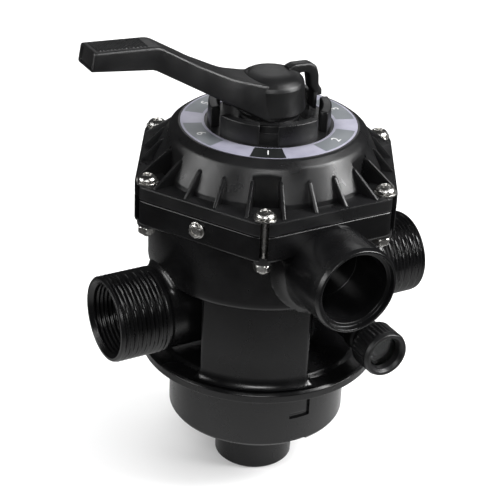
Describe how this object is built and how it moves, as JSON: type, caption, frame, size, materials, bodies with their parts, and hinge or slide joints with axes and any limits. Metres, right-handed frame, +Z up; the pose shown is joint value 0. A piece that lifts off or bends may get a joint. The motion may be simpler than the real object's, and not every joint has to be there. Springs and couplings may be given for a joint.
{
  "type": "multiport valve head",
  "caption": "Top-mount multiport valve head for a pool sand filter: ribbed bolted cover, lever handle, threaded side ports, waste port, sight glass and tank flange.",
  "frame": {"origin": "on the valve's axis, at the underside of the tank flange", "axes": "+Z up the valve's axis; +X towards the threaded port that carries the sight glass; -Y towards the waste port"},
  "size_m": [0.255, 0.2085, 0.337],
  "materials": {
    "glossy_black_plastic": "polished moulding",
    "satin_black_plastic": "satin moulding",
    "handle_plastic": "satin moulding with worn edges",
    "white_plastic": "moulded",
    "nylon": "turned",
    "label_grey": "printed sheet",
    "seal_rubber": "moulded",
    "lens_clear": "clear moulding",
    "stainless_steel": "bright",
    "spring_steel": "drawn wire"
  },
  "bodies": {
    "housing": {"cover": "satin_black_plastic", "cover_nut_1": "stainless_steel", "cover_nut_2": "stainless_steel", "cover_nut_3": "stainless_steel", "cover_nut_4": "stainless_steel", "cover_nut_5": "stainless_steel", "cover_nut_6": "stainless_steel", "cover_o_ring": "seal_rubber", "cover_screw_1": "stainless_steel", "cover_screw_2": "stainless_steel", "cover_screw_3": "stainless_steel", "cover_screw_4": "stainless_steel", "cover_screw_5": "stainless_steel", "cover_screw_6": "stainless_steel", "cover_washer_1": "stainless_steel", "cover_washer_2": "stainless_steel", "cover_washer_3": "stainless_steel", "cover_washer_4": "stainless_steel", "cover_washer_5": "stainless_steel", "cover_washer_6": "stainless_steel", "gauge_plug": "stainless_steel", "label_plate": "label_grey", "shaft_o_ring_lower": "seal_rubber", "shaft_o_ring_upper": "seal_rubber", "sight_glass_collar": "satin_black_plastic", "sight_glass_gasket": "seal_rubber", "sight_glass_lens": "lens_clear", "sight_glass_neck": "satin_black_plastic", "spider_gasket": "seal_rubber", "spring": "spring_steel", "spring_washer_upper": "stainless_steel", "standpipe_o_ring": "seal_rubber", "tank_o_ring": "seal_rubber", "valve_body": "glossy_black_plastic"},
    "turntable": {"handle_washer": "nylon"},
    "rotor": {"diverter": "white_plastic", "handle_pin": "stainless_steel", "spring_washer_lower": "stainless_steel"},
    "lever": {"handle": "handle_plastic"}
  },
  "joints": [
    {"name": "position_turn", "type": "hinge", "parent": "housing", "child": "turntable", "pos_m": [0, 0, 0.178], "axis": [0, 0, 1], "continuous": true},
    {"name": "diverter_lift", "type": "slide", "parent": "turntable", "child": "rotor", "axis": [0, 0, 1], "range_m": [0, 0.003], "deforming": ["spring"]},
    {"name": "handle_press", "type": "hinge", "parent": "rotor", "child": "lever", "pos_m": [0, 0, 0.192], "axis": [0, -1, 0], "range_deg": [0, 15], "stiffness_Nm_per_rad": 12, "springref_deg": -17.19}
  ],
  "couplings": [
    {"joint": "diverter_lift", "follows": "handle_press", "m_per_rad": 0.0107}
  ]
}
